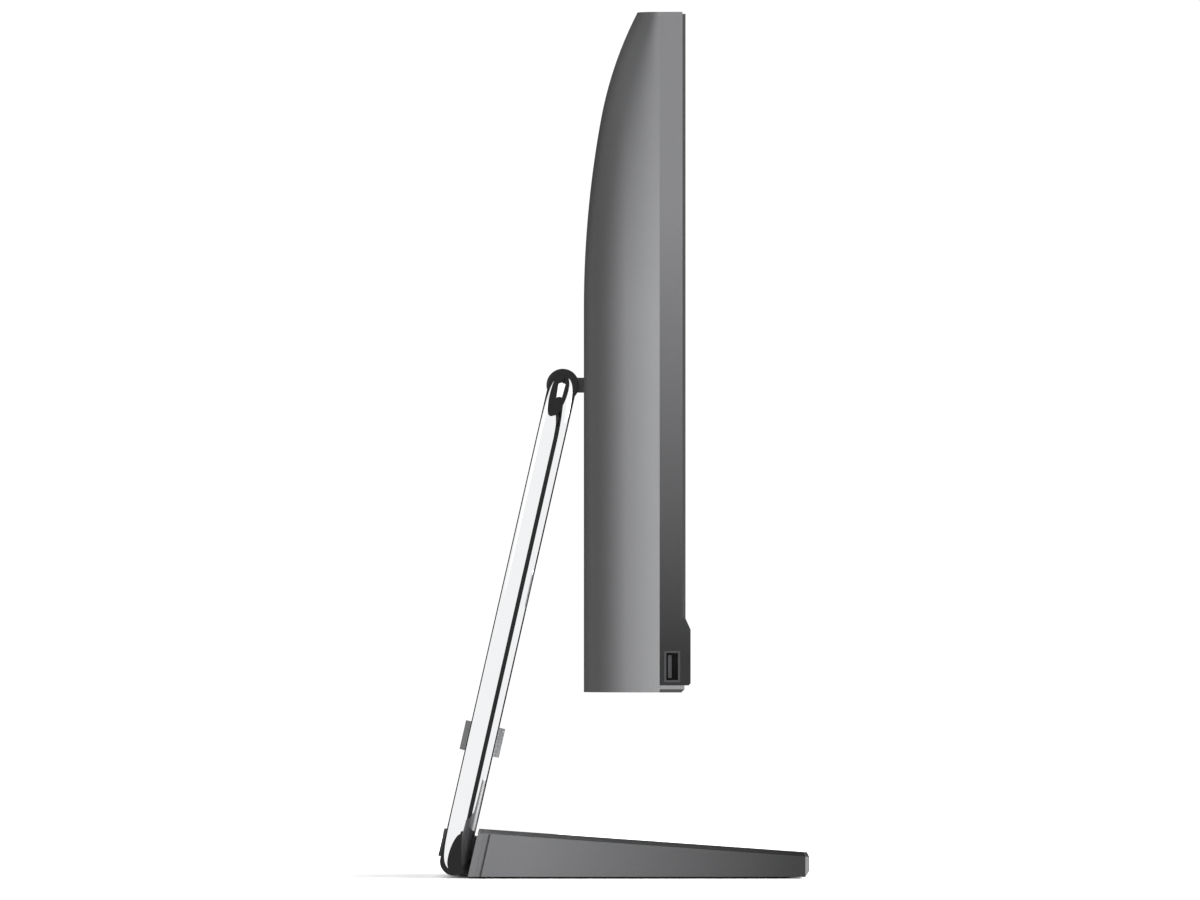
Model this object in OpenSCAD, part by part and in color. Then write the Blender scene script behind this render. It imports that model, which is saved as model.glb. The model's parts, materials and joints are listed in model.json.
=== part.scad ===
// All-in-one computer: display head, tilt hinge, closed tube stand and wedge base.
// Front faces -Y, up is +Z, and the origin is under the middle of the object.

/* [Display head] */
// Width of the head
head_w = 540; // [500:1:700]
// Height of the head
head_h = 335.7; // [325:0.1:430]
// Height of the head's underside above the table
head_z = 93.5; // [80:0.5:130]
// Front plane of the glass
glass_y = -30.5; // [-36:0.5:-28]
// Thickness of the cover glass
glass_t = 1.5; // [1:0.1:2]
// Depth of the front frame behind the glass
frame_d = 11.3; // [11:0.1:16]
// Thickness of the front frame's walls
frame_wall = 3; // [2:0.5:4]
// Depth of the rear cover from the seam to its back
cover_d = 37.4; // [37:0.1:45]
// Wall of the rear cover
cover_wall = 2.4; // [1.6:0.1:3]
// Radius of the cover where its sides meet its back
side_r = 34; // [20:1:36]
// Drop from the head's top to where the back starts to curve
curve_drop = 146.2; // [140:0.1:156]
// Height of the slow part of the back's curve
curve_rise = 93; // [80:1:96]
// Radius of the slow part of the curve
back_r1 = 520; // [480:10:700]
// Radius of the quick part of the curve near the top
back_r2 = 190; // [180:5:260]

/* [Speaker bar] */
// Height of the speaker bar above the bottom trim
chin_h = 33; // [30:0.5:40]
// How far the speaker bar stands proud of the glass
chin_proud = 2.5; // [1.5:0.1:4]
// Height of the sloped top of the bar
chin_slope = 5.5; // [3:0.5:7]
// Height of the bottom trim
trim_h = 3.5; // [3:0.1:5]
// Height of the dark strip under the trim
strip_h = 1.6; // [1:0.1:2]
// Border around the grille
grille_border = 4; // [3:0.5:6]
// Thickness of the grille
grille_t = 1; // [0.6:0.1:1.2]

/* [Hinge] */
// Height of the tilt axis
hinge_z = 245.5; // [225:0.5:262]
// Length of arm that shows between head and tube
arm_show = 3.5; // [3:0.1:8]
// Thickness of the arm
arm_t = 7.4; // [5:0.1:9]
// Width of the arm
arm_w = 80; // [60:1:90]
// Wall of the collars on the tube
collar_wall = 1; // [0.8:0.1:2.6]
// Length of one collar
collar_len = 26; // [16:1:30]
// Radial running clearance of a collar
collar_fit = 0.05; // [0.02:0.01:0.09]

/* [Stand loop] */
// Diameter of the loop's tube
tube_d = 14.2; // [12:0.1:16]
// Wall of the tube
tube_wall = 1.5; // [1:0.1:2.5]
// Outer width of the loop
loop_w = 200; // [170:1:216]
// Centre-line radius of the four bends
bend_r = 26; // [20:1:32]
// Lean of the loop from the vertical
loop_lean = 12.84; // [8:0.1:15]
// Clearance under the loop's lower run
loop_lift = 1; // [0.5:0.1:3]

/* [Base] */
// Width of the base
base_w = 236; // [220:1:300]
// Distance from the origin to the nose
base_reach = 92.4; // [80:0.1:120]
// Height of the nose
nose_h = 10.9; // [9.5:0.1:14]
// Height of the rear end
rear_h = 22.7; // [20:0.1:28]
// Wall of the base shell
base_wall = 2.2; // [1.6:0.1:3]
// Thickness of the closing plate
plate_t = 1.5; // [1:0.1:2]
// How far the feet stand proud
foot_t = 1; // [0.6:0.1:1.6]
// Diameter of a foot
foot_d = 16; // [10:1:22]
// Width of the groove near the base's rear end
groove_w = 3.4; // [2:0.1:5]
// Depth of that groove
groove_t = 1.2; // [0.5:0.1:1.4]
// Distance of the groove from the rear end
groove_back = 3; // [2:0.1:8]
// Thickness of the steel weight
weight_t = 4; // [3:0.1:4.6]
// Wall of the clamp behind and before the lower run
clamp_wall = 1.3; // [1:0.1:3]
// Width of the clamp
clamp_w = 96; // [70:1:110]
// Height of the clamp above the lower run's middle
clamp_h = 14; // [12:0.5:20]

/* [Cable clip] */
// Height of the clip's middle along the loop
clip_at = 61.4; // [40:0.5:120]
// Height of the clip
clip_h = 14.8; // [10:0.5:20]
// Wall of the clip
clip_wall = 3; // [2:0.1:4]
// Bore for the cables
clip_bore = 11; // [8:0.5:16]
// Mouth of the clip
clip_mouth = 7; // [5:0.5:8]

/* [Connectors] */
// Width of the connector bay
bay_w = 200; // [190:1:230]
// Height of the connector bay
bay_h = 29.5; // [24:0.5:34]
// Side USB opening, long way
usb_l = 13.4; // [13.2:0.1:14]
// Side USB opening, short way
usb_s = 5.8; // [5.4:0.1:6.4]
// Height of the side USB's middle above the head's underside
usb_up = 12.8; // [12:0.1:16]

/* [Moving pieces] */
// Width of the pop-up camera
camera_w = 62; // [40:1:90]
// Depth of the pop-up camera
camera_d = 6; // [5:0.1:6.4]
// Height of the pop-up camera
camera_h = 34; // [30:0.5:40]
// Diameter of the power button
button_d = 9; // [7:0.5:10]
// Travel of the power button
button_travel = 1; // [0.5:0.1:1.5]
// Diameter of the blower's rotor
rotor_d = 56; // [40:1:58]
// Number of blower blades
blades = 15; // [9:1:21]
// Clearance of a sliding piece in its slot, each side
slide_gap = 0.4; // [0.3:0.05:0.6]

/* [Hidden] */
$fn = 48;
eps = 0.01;

// Head planes
hw = head_w / 2;
head_top = head_z + head_h;
frame_y = glass_y + glass_t;
seam_y = frame_y + frame_d;
back_y = seam_y + cover_d;
frame_z0 = head_z + trim_h;
chin_top = frame_z0 + chin_h;
inner_back_y = back_y - cover_wall;
curve_z = head_top - curve_drop;

// Panel stack
panel_gap = 0.5;
panel_t = 2.5;
tray_t = 5;
chassis_t = 1.2;
panel_w = head_w - 2 * frame_wall - 2 * panel_gap;
panel_z0 = chin_top;
panel_h = head_top - frame_wall - panel_gap - panel_z0;
tray_y = frame_y + panel_t;
chassis_y = tray_y + tray_t;
chassis_back = chassis_y + chassis_t;
glass_edge = 1;

// Hinge and loop
tube_r = tube_d / 2;
collar_r = tube_r + collar_fit + collar_wall;
hinge_y = back_y + arm_show + tube_r;
foot_z = tube_r + loop_lift;
loop_len = (hinge_z - foot_z) / cos(loop_lean);
foot_y = hinge_y + (hinge_z - foot_z) * tan(loop_lean);
leg_x = loop_w / 2 - tube_r;
collar_x = arm_w / 2 - collar_len / 2;
flange_t = 3;
flange_h = 20;
bracket_t = 3;
bracket_w = arm_w + 20;
bracket_h = 40;
flange_y = inner_back_y - flange_t - 0.4;
bracket_back = flange_y;

// Connector bay
bay_y = -6;
bay_top = head_z + bay_h;
io_t = 1;
io_z = bay_top;
socket_z = io_z + io_t;

// Main board
standoff_l = 11;
board_t = 1.6;
board_y = chassis_back + standoff_l;
board_back = board_y + board_t;
board_w = 190;
board_z0 = bay_top + cover_wall + 1.6;
board_h = 86;
board_hole_x = board_w / 2 - 6;
board_hole_z = [board_z0 + 6, board_z0 + board_h - 6];
cpu_z = board_z0 + 54;

// Blower and cooling
blower_x = -165;
blower_z = 262;
blower_d = rotor_d + 14;
blower_t = 13;
blower_y = chassis_back;
blower_wall = 1.5;
fin_w = 70;
fin_h = 16;
fin_z0 = blower_z + blower_d / 2;
pipe_r = 3;
pipe_y = board_back + 4.5;

// Speakers
speaker_w = 90;
speaker_x = hw - frame_wall - 20 - speaker_w / 2;
speaker_z0 = frame_z0 + frame_wall;
speaker_h = chin_top - frame_wall - speaker_z0;
speaker_d = 22;
cone_d = 18;

// Side USB port
usb_wall = 1;
usb_y = -23.9;
usb_z = head_z + usb_up;
usb_depth = 17;

// Camera
camera_y = seam_y - 1.2 - camera_d / 2;

// Button
button_x = hw - frame_wall - 10;
button_y = (frame_y + seam_y) / 2;

// Drive
drive_x = 168;
drive_z = 282;
drive_w = 100;
drive_h = 70;
drive_t = 7;

// Base
clamp_t = tube_r + clamp_wall;
rear_y = foot_y - clamp_t / cos(loop_lean);
rear_tan = tan(loop_lean);
nose_lean = 2;

// Places of the small parts
vent_x = [-215 : 12 : -107];
screw_sink = 1.6;
cover_screw_x = [-225, 225];
cover_screw_z = [head_z + 90, head_z + 240];
hinge_screw_x = [-30, 30];
shaft_r = 2;
shaft_fit = 0.05;
// Sockets hang from the board's edge, mouths down
socket_nose = bay_y + 0.7;
usb_x = [-62, -44, -26];
network_x = 2;
hdmi_x = 28;
audio_x = 50;
audio_bore = 3.5;
inlet_x = 72;
inlet_bore = 5.5;
nose_t = 2;
base_screw_x = [-base_w / 2 + 12, base_w / 2 - 12];
base_screw_y = [-base_reach + 30, rear_y - 14];
clamp_z0 = 0.8;
clamp_low = -6.4;
clamp_screw_x = [-36, 36];
clamp_screw_z = tube_r + 3.4;

// Points of an arc in a polygon
function arc_points(c, r, a0, a1, n) =
    [for (i = [0 : n]) let (a = a0 + (a1 - a0) * i / n) [c[0] + r * cos(a), c[1] + r * sin(a)]];

// Side outline of the head's back, as [y, z], set in by a wall
function back_outline(inset, front) =
    let (
        z1 = curve_z,
        a1 = asin(curve_rise / back_r1),
        c1 = [back_y - back_r1, z1],
        c2 = [c1[0] + (back_r1 - back_r2) * cos(a1), c1[1] + (back_r1 - back_r2) * sin(a1)],
        a2 = asin((head_top - inset - c2[1]) / (back_r2 - inset))
    )
    concat(
        [[front, head_z + inset], [back_y - inset, head_z + inset]],
        arc_points(c1, back_r1 - inset, 0, a1, 6),
        arc_points(c2, back_r2 - inset, a1 + 1, a2, 8),
        [[front, head_top - inset]]
    );

// Plan outline of the head's back, as [x, y], set in by a wall
function plan_outline(inset, front) =
    let (r = side_r - inset, cx = hw - side_r, cy = back_y - side_r)
    concat(
        [[-hw + inset, front], [hw - inset, front]],
        arc_points([cx, cy], r, 0, 90, 10),
        arc_points([-cx, cy], r, 90, 180, 10)
    );

// Solid with the outline of the head's back
module head_form(inset, front) {
    intersection() {
        rotate([90, 0, 90])
            linear_extrude(head_w + 2, center = true)
                polygon(back_outline(inset, front));
        translate([0, 0, head_z - 1])
            linear_extrude(head_h + 2)
                polygon(plan_outline(inset, front - 1));
    }
}

// Block given by its low and high corners
module block(lo, hi) {
    translate(lo) cube(hi - lo);
}

// Cylinder along X
module rod_x(r, l) {
    rotate([0, 90, 0]) cylinder(r = r, h = l, center = true);
}

// Cylinder along Y from a point
module rod_y(r, l) {
    rotate([-90, 0, 0]) cylinder(r = r, h = l);
}

// Screw with its head towards +Y, point at the origin
module screw(d, l, head_d, head_t) {
    rod_y(d / 2, l);
    translate([0, l, 0])
        difference() {
            rod_y(head_d / 2, head_t);
            translate([0, head_t / 2, 0]) rotate([-90, 0, 0]) cylinder(d = head_d * 0.5,
                h = head_t, $fn = 6);
        }
}

// Frame of the loop: origin in the lower run, +Z up along the legs
module on_loop() {
    translate([0, foot_y, foot_z]) rotate([loop_lean, 0, 0]) children();
}

// ---------- Display head, outside ----------

module front_glass() {
    color([0.03, 0.03, 0.035])
        block([-hw + glass_edge, glass_y, chin_top], [hw - glass_edge, frame_y, head_top - glass_edge]);
}

module lcd_panel() {
    color([0.1, 0.1, 0.12])
        block([-panel_w / 2, frame_y, panel_z0], [panel_w / 2, tray_y, panel_z0 + panel_h]);
}

module backlight_tray() {
    color([0.85, 0.85, 0.86])
        difference() {
            block([-panel_w / 2, tray_y, panel_z0], [panel_w / 2, chassis_y, panel_z0 + panel_h]);
            block([-panel_w / 2 + 1, tray_y - 1, panel_z0 + 1],
                  [panel_w / 2 - 1, chassis_y - 1, panel_z0 + panel_h - 1]);
            camera_slot(camera_w + 13);
        }
}

module camera_slot(w) {
    block([-w / 2, camera_y - camera_d / 2 - 1, head_top - camera_h - 3],
          [w / 2, camera_y + camera_d / 2 + 1, head_top + 1]);
}

module mid_frame() {
    crossbar_z = chin_top - frame_wall;
    color([0.5, 0.5, 0.52])
        difference() {
            block([-hw, frame_y, frame_z0], [hw, seam_y, head_top]);
            block([-hw + frame_wall, frame_y - 1, chin_top],
                  [hw - frame_wall, seam_y + 1, head_top - frame_wall]);
            block([-hw + frame_wall, frame_y - 1, frame_z0 + frame_wall],
                  [hw - frame_wall, seam_y + 1, crossbar_z]);
            usb_cut(0);
            button_cut();
            block([-camera_w / 2 - slide_gap, camera_y - camera_d / 2 - slide_gap,
                head_top - frame_wall - 1],
                  [camera_w / 2 + slide_gap, camera_y + camera_d / 2 + slide_gap, head_top + 1]);
        }
}

module usb_cut(gap) {
    block([-hw - 1, usb_y - usb_s / 2 - usb_wall - gap, usb_z - usb_l / 2 - usb_wall - gap],
          [-hw + usb_depth + gap, usb_y + usb_s / 2 + usb_wall + gap,
          usb_z + usb_l / 2 + usb_wall + gap]);
}

module button_cut() {
    translate([button_x, button_y, head_z - 1])
        cylinder(d = button_d + 2 * slide_gap, h = trim_h + frame_wall + 2);
}

module bay_block(inset) {
    block([-bay_w / 2 - inset, bay_y - inset, head_z - 1], [bay_w / 2 + inset, back_y + 1,
        bay_top + inset]);
}

module rear_vents() {
    // outlet above the fins
    for (x = vent_x)
        block([x, 0, fin_z0], [x + 6, back_y + 1, fin_z0 + 34]);
    // inlets left and right below the middle
    for (side = [-1, 1], i = [0 : 9])
        block([side * 170 - 50 + i * 10, 0, head_z + 40], [side * 170 - 46 + i * 10, back_y + 1,
            head_z + 75]);
}

module rear_cover() {
    color([0.36, 0.36, 0.38])
        difference() {
            union() {
                difference() {
                    head_form(0, seam_y);
                    head_form(cover_wall, seam_y - 0.5);
                }
                intersection() {
                    head_form(0, seam_y);
                    bay_block(cover_wall);
                }
            }
            bay_block(0);
            block([-bay_w / 2 + 6, bay_y + 0.4, bay_top - 1], [bay_w / 2 - 6, bay_y + 17,
                bay_top + cover_wall + 1]);
            block([-arm_w / 2 - 1, 0, hinge_z - arm_t / 2 - 1], [arm_w / 2 + 1, back_y + 1,
                hinge_z + arm_t / 2 + 1]);
            rear_vents();
            for (x = cover_screw_x, z = cover_screw_z)
                translate([x, 0, z]) {
                    rod_y(1.6, back_y + 1);
                    translate([0, cover_y(z) - screw_sink, 0]) rod_y(3.1, 10);
                }
        }
}

module cover_screws() {
    color([0.2, 0.2, 0.22])
        for (x = cover_screw_x, z = cover_screw_z)
            translate([x, cover_y(z) - screw_sink - 12, z]) screw(3, 12, 5.6, 1.2);
}

// Depth of the cover's outer surface at a height
function cover_y(z) =
    z < curve_z ? back_y
    : back_y - back_r1 + sqrt(pow(back_r1, 2) - pow(z - curve_z, 2));

module cover_posts() {
    color([0.3, 0.3, 0.32])
        for (x = cover_screw_x, z = cover_screw_z)
            translate([x, chassis_back, z])
                difference() {
                    rod_y(4, cover_y(z) - cover_wall - 0.6 - chassis_back);
                    translate([0, cover_y(z) - 14.4 - chassis_back, 0]) rod_y(1.5, 20);
                }
}

module chin_housing() {
    front = glass_y - chin_proud;
    sole = frame_z0;
    color([0.16, 0.16, 0.17])
        difference() {
            rotate([90, 0, 90])
                linear_extrude(head_w, center = true)
                    polygon([[frame_y, sole], [front + 1, sole], [front, sole + 1],
                             [front, chin_top - chin_slope], [glass_y, chin_top], [frame_y, chin_top]]);
            block([-hw + grille_border, front - 1, sole + grille_border],
                  [hw - grille_border, front + grille_t, chin_top - chin_slope - 1]);
            for (side = [-1, 1])
                block([side * speaker_x - speaker_w / 2 + 6, front, speaker_z0 + 3],
                      [side * speaker_x + speaker_w / 2 - 6, frame_y + 1, chin_top - chin_slope - 3]);
        }
}

module speaker_grille() {
    front = glass_y - chin_proud;
    color([0.12, 0.12, 0.13])
        block([-hw + grille_border, front, frame_z0 + grille_border],
              [hw - grille_border, front + grille_t, chin_top - chin_slope - 1]);
}

module bottom_trim() {
    color([0.6, 0.6, 0.62])
        difference() {
            block([-hw + 0.4, glass_y + 0.5, head_z + strip_h], [hw - 0.4, seam_y, frame_z0]);
            button_cut();
        }
}

module bottom_strip() {
    color([0.12, 0.12, 0.13])
        difference() {
            rotate([90, 0, 90])
                linear_extrude(head_w - 1, center = true)
                    polygon([[seam_y, head_z], [glass_y + 0.5 + strip_h, head_z],
                             [glass_y + 0.5, head_z + strip_h], [seam_y, head_z + strip_h]]);
            button_cut();
        }
}

module side_usb_shell() {
    color([0.75, 0.75, 0.77])
        difference() {
            block([-hw, usb_y - usb_s / 2 - usb_wall, usb_z - usb_l / 2 - usb_wall],
                  [-hw + usb_depth, usb_y + usb_s / 2 + usb_wall, usb_z + usb_l / 2 + usb_wall]);
            block([-hw - 1, usb_y - usb_s / 2, usb_z - usb_l / 2],
                  [-hw + usb_depth - 1, usb_y + usb_s / 2, usb_z + usb_l / 2]);
        }
}

module side_usb_tongue() {
    color([0.25, 0.25, 0.27])
        block([-hw + 2, usb_y + 0.3, usb_z - usb_l / 2 + 1],
              [-hw + usb_depth - 1, usb_y + 2.1, usb_z + usb_l / 2 - 1]);
}

// ---------- Display head, inside ----------

module chassis_plate() {
    color([0.6, 0.62, 0.64])
        difference() {
            block([-panel_w / 2, chassis_y, panel_z0], [panel_w / 2, chassis_back, panel_z0 + panel_h]);
            for (side = [-1, 1])
                block([side * 60 - 35, chassis_y - 1, panel_z0 + 210],
                      [side * 60 + 35, chassis_back + 1, panel_z0 + 250]);
            camera_slot(camera_w + 13);
        }
}

module hinge_bracket() {
    z0 = hinge_z - bracket_h / 2;
    z1 = hinge_z + bracket_h / 2;
    color([0.5, 0.52, 0.55])
        difference() {
            block([-bracket_w / 2, chassis_back, z0], [bracket_w / 2, bracket_back, z1]);
            block([-bracket_w / 2 + bracket_t, chassis_back + bracket_t, z0 - 1],
                  [bracket_w / 2 - bracket_t, bracket_back - bracket_t, z1 + 1]);
            for (x = hinge_screw_x)
                translate([x, 0, hinge_z]) rod_y(2, back_y);
        }
}

module hinge_arm() {
    color([0.22, 0.22, 0.24])
        difference() {
            union() {
                block([-arm_w / 2, flange_y, hinge_z - flange_h / 2],
                      [arm_w / 2, flange_y + flange_t, hinge_z + flange_h / 2]);
                block([-arm_w / 2, flange_y, hinge_z - arm_t / 2], [arm_w / 2, hinge_y,
                    hinge_z + arm_t / 2]);
            }
            for (side = [-1, 1])
                translate([side * collar_x, hinge_y, hinge_z]) rod_x(collar_r, collar_len + eps);
            block([-collar_x + collar_len / 2, hinge_y - collar_r - 1, hinge_z - arm_t],
                  [collar_x - collar_len / 2, hinge_y + 1, hinge_z + arm_t]);
            for (x = hinge_screw_x)
                translate([x, flange_y - 1, hinge_z]) rod_y(2, flange_t + 4);
        }
}

module hinge_collars() {
    color([0.08, 0.08, 0.09])
        for (side = [-1, 1])
            translate([side * collar_x, hinge_y, hinge_z])
                difference() {
                    rod_x(collar_r, collar_len);
                    rod_x(tube_r + collar_fit, collar_len + 2);
                }
}

module hinge_bolts() {
    color([0.7, 0.7, 0.72])
        for (x = hinge_screw_x)
            translate([x, bracket_back - bracket_t - 3, hinge_z]) {
                rod_y(2, 3 + bracket_t + flange_t);
                cube([7, 6, 7], center = true);
            }
}

module main_board() {
    color([0.05, 0.3, 0.16])
        difference() {
            block([-board_w / 2, board_y, board_z0], [board_w / 2, board_back, board_z0 + board_h]);
            for (x = [-board_hole_x, board_hole_x], z = board_hole_z)
                translate([x, board_y - 1, z]) rod_y(1.6, board_t + 2);
        }
}

module board_standoffs() {
    color([0.8, 0.7, 0.4])
        for (x = [-board_hole_x, board_hole_x], z = board_hole_z)
            translate([x, chassis_back, z])
                difference() {
                    cylinder_y6(3.2, standoff_l);
                    translate([0, 5, 0]) rod_y(1.25, standoff_l);
                }
}

// Hexagonal bar along Y
module cylinder_y6(r, l) {
    rotate([-90, 0, 0]) cylinder(r = r, h = l, $fn = 6);
}

module board_screws() {
    color([0.75, 0.75, 0.78])
        for (x = [-board_hole_x, board_hole_x], z = board_hole_z)
            translate([x, board_back - 6, z]) screw(2.5, 6, 5, 1.4);
}

module processor() {
    color([0.7, 0.7, 0.72])
        translate([0, board_back, cpu_z]) {
            translate([-17, 0, -17]) cube([34, 0.6, 34]);
            translate([-9, 0.6, -9]) cube([18, 0.9, 18]);
        }
}

module cold_plate() {
    color([0.8, 0.5, 0.3])
        difference() {
            translate([-22, board_back + 1.5, cpu_z - 20]) cube([44, 6, 40]);
            translate([0, pipe_y + 0.5, cpu_z]) rod_x(pipe_r, 60);
        }
}

module heat_pipe() {
    bend = 14;
    run = -blower_x;
    top = fin_z0 + fin_h - 3;
    color([0.85, 0.5, 0.28]) {
        translate([-run / 2 + bend / 2 + 10, pipe_y + 0.5, cpu_z]) rod_x(pipe_r, run - bend + 20);
        translate([-run + bend, pipe_y + 0.5, cpu_z + bend])
            rotate([90, 0, 0]) rotate([0, 0, 180]) rotate_extrude(angle = 90) translate([bend,
                0]) circle(pipe_r);
        translate([-run, pipe_y + 0.5, cpu_z + bend]) cylinder(r = pipe_r, h = top - cpu_z - bend);
    }
}

module fin_stack() {
    color([0.75, 0.76, 0.78])
        difference() {
            block([blower_x - fin_w / 2, chassis_back, fin_z0], [blower_x + fin_w / 2, pipe_y + 5,
                fin_z0 + fin_h]);
            for (i = [1 : 10])
                block([blower_x - fin_w / 2 + i * fin_w / 11 - 1.6, chassis_back + 1, fin_z0 - 1],
                      [blower_x - fin_w / 2 + i * fin_w / 11 + 1.6, pipe_y - 4, fin_z0 + fin_h + 1]);
            translate([blower_x, pipe_y + 0.5, fin_z0 - 1]) cylinder(r = pipe_r, h = fin_h + 2);
        }
}

module blower_housing() {
    color([0.1, 0.1, 0.11])
        translate([blower_x, blower_y, blower_z])
            difference() {
                union() {
                    rod_y(blower_d / 2, blower_t);
                    block([-blower_d / 2, 0, 0], [blower_d / 2, blower_t, blower_d / 2]);
                }
                translate([0, blower_wall, 0]) rod_y(rotor_d / 2 + 3, blower_t - 2 * blower_wall);
                block([-rotor_d / 2, blower_wall, 0], [rotor_d / 2, blower_t - blower_wall, blower_d]);
                translate([0, blower_t / 2, 0]) rod_y(rotor_d / 2 - 8, blower_t);
            }
    color([0.1, 0.1, 0.11])
        translate([blower_x, blower_y + blower_wall, blower_z])
            rod_y(shaft_r, blower_t - 2 * blower_wall - 1);
}

module blower_rotor() {
    hub_r = 12;
    rotor_t = blower_t - 2 * blower_wall - 2;
    color([0.15, 0.15, 0.17])
        translate([blower_x, blower_y + blower_wall + 0.8, blower_z])
            difference() {
                union() {
                    rod_y(hub_r, rotor_t);
                    rod_y(rotor_d / 2, 1);
                    for (i = [0 : blades - 1])
                        rotate([0, i * 360 / blades, 0])
                            translate([hub_r - 1, 0, -0.5]) cube([rotor_d / 2 - hub_r - 1, rotor_t, 1]);
                }
                translate([0, -1, 0]) rod_y(shaft_r + shaft_fit, blower_t + 2);
            }
}

module memory_modules() {
    color([0.05, 0.35, 0.2])
        for (i = [0, 1])
            translate([48, board_back + i * 5, board_z0 + 34]) {
                translate([0, 2.2, 0]) cube([32, 1, 46]);
                translate([0, 0, 0]) cube([5, 5, 46]);
                for (j = [0 : 2])
                    translate([10, 3.2, 3 + j * 14.5]) cube([16, 1.1, 11]);
            }
}

module storage_card() {
    color([0.08, 0.1, 0.12])
        translate([-88, board_back, board_z0 + 14]) {
            cube([6, 3.4, 22]);
            translate([6, 1.6, 0]) cube([50, 0.8, 22]);
            translate([12, 2.4, 3]) cube([14, 1.2, 16]);
            translate([30, 2.4, 3]) cube([14, 1.2, 16]);
        }
}

module wireless_card() {
    color([0.1, 0.12, 0.2])
        translate([-88, board_back, board_z0 + 58]) {
            cube([6, 3.4, 18]);
            translate([6, 1.6, 0]) cube([20, 0.8, 18]);
            translate([9, 2.4, 2]) cube([13, 1.6, 13]);
        }
}

module antennas() {
    color([0.1, 0.1, 0.1])
        for (side = [-1, 1])
            block([side * (hw - 30) - 20, chassis_back, head_top - 30], [side * (hw - 30) + 20,
                chassis_back + 1, head_top - 18]);
}

module hard_drive() {
    color([0.7, 0.71, 0.73])
        translate([drive_x, chassis_back + 1.5, drive_z])
            difference() {
                block([-drive_w / 2, 0, -drive_h / 2], [drive_w / 2, drive_t, drive_h / 2]);
                translate([-12, drive_t - 0.6, 0]) rod_y(26, 2);
            }
}

module drive_caddy() {
    w = drive_w / 2;
    h = drive_h / 2;
    color([0.3, 0.32, 0.34])
        translate([drive_x, chassis_back, drive_z])
            difference() {
                block([-w - 2, 0, -h - 2], [w + 2, 7, h + 2]);
                block([-w, 1.5, -h], [w, 9, h]);
                block([-w - 4, 3.5, -h + 15], [w + 4, 9, h - 15]);
            }
}

module speaker(side) {
    x = side * speaker_x;
    zc = speaker_z0 + speaker_h / 2;
    difference() {
        block([x - speaker_w / 2, frame_y, speaker_z0], [x + speaker_w / 2, frame_y + speaker_d,
            speaker_z0 + speaker_h]);
        block([x - speaker_w / 2 + 2, frame_y + 4, speaker_z0 + 2],
              [x + speaker_w / 2 - 2, frame_y + speaker_d - 2, speaker_z0 + speaker_h - 2]);
        for (dx = [-22, 22])
            translate([x + dx, frame_y - 1, zc]) rod_y(cone_d / 2, 6);
    }
}

module speaker_left() {
    color([0.1, 0.1, 0.1]) speaker(-1);
}

module speaker_right() {
    color([0.1, 0.1, 0.1]) speaker(1);
}

module speaker_cones() {
    zc = speaker_z0 + speaker_h / 2;
    color([0.2, 0.2, 0.22])
        for (side = [-1, 1], dx = [-22, 22])
            translate([side * speaker_x + dx, frame_y + 0.6, zc])
                difference() {
                    rod_y(cone_d / 2 - 0.2, 9);
                    translate([0, -1, 0]) rotate([-90, 0, 0]) cylinder(r1 = cone_d / 2 - 1, r2 = 3,
                        h = 5);
                }
}

module socket_body(x, w, t, l) {
    difference() {
        block([x - w / 2, board_back, socket_z], [x + w / 2, board_back + t, socket_z + l]);
        block([x - w, board_back - 1, socket_z - 1], [x + w, socket_nose, board_z0 - 0.4]);
    }
}

module socket_mouth(x, w, lo, hi, depth) {
    block([x - w / 2, board_back + lo, socket_z - 1], [x + w / 2, board_back + hi, socket_z + depth]);
}

module rear_usb_sockets() {
    color([0.72, 0.72, 0.74])
        for (x = usb_x) {
            difference() {
                socket_body(x, 14.6, 9.6, 17);
                socket_mouth(x, usb_l, 3, 3 + usb_s, 15);
            }
            block([x - 5.5, board_back + 6.2, socket_z + 1], [x + 5.5, board_back + 8, socket_z + 15]);
        }
}

module network_socket() {
    color([0.6, 0.6, 0.62])
        difference() {
            socket_body(network_x, 16, 14, 21);
            socket_mouth(network_x, 12, 3.6, 12, 17);
            socket_mouth(network_x, 5, 11, 13, 12);
        }
}

module hdmi_socket() {
    color([0.65, 0.65, 0.67])
        difference() {
            socket_body(hdmi_x, 16.5, 9, 13);
            socket_mouth(hdmi_x, 14, 3, 7.6, 11);
        }
    color([0.1, 0.1, 0.1])
        block([hdmi_x - 5, board_back + 4.6, socket_z + 1], [hdmi_x + 5, board_back + 6, socket_z + 11]);
}

module audio_jack() {
    color([0.08, 0.08, 0.09])
        difference() {
            socket_body(audio_x, 9, 9, 14);
            translate([audio_x, board_back + 5.6, socket_z - 1]) cylinder(d = audio_bore, h = 13);
        }
}

module power_inlet() {
    color([0.1, 0.1, 0.11])
        difference() {
            socket_body(inlet_x, 11, 11, 14);
            translate([inlet_x, board_back + 6.2, socket_z - 1]) cylinder(d = inlet_bore, h = 11);
        }
    color([0.8, 0.8, 0.7])
        translate([inlet_x, board_back + 6.2, socket_z + 1]) cylinder(d = 1.6, h = 9);
}

module io_plate() {
    module window(x, w, lo, hi) {
        block([x - w / 2, board_back + lo, io_z - 1], [x + w / 2, board_back + hi, io_z + io_t + 1]);
    }
    color([0.25, 0.26, 0.28])
        difference() {
            block([-bay_w / 2 + 6.3, bay_y + 0.7, io_z], [bay_w / 2 - 6.3, bay_y + 16.7, io_z + io_t]);
            for (x = usb_x)
                window(x, usb_l, 3, 3 + usb_s);
            window(network_x, 12, 3.6, 12);
            window(network_x, 5, 11, 13);
            window(hdmi_x, 14, 3, 7.6);
            translate([audio_x, board_back + 5.6, io_z - 1]) cylinder(d = audio_bore + 1, h = 4);
            translate([inlet_x, board_back + 6.2, io_z - 1]) cylinder(d = inlet_bore + 1, h = 4);
        }
}

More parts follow.
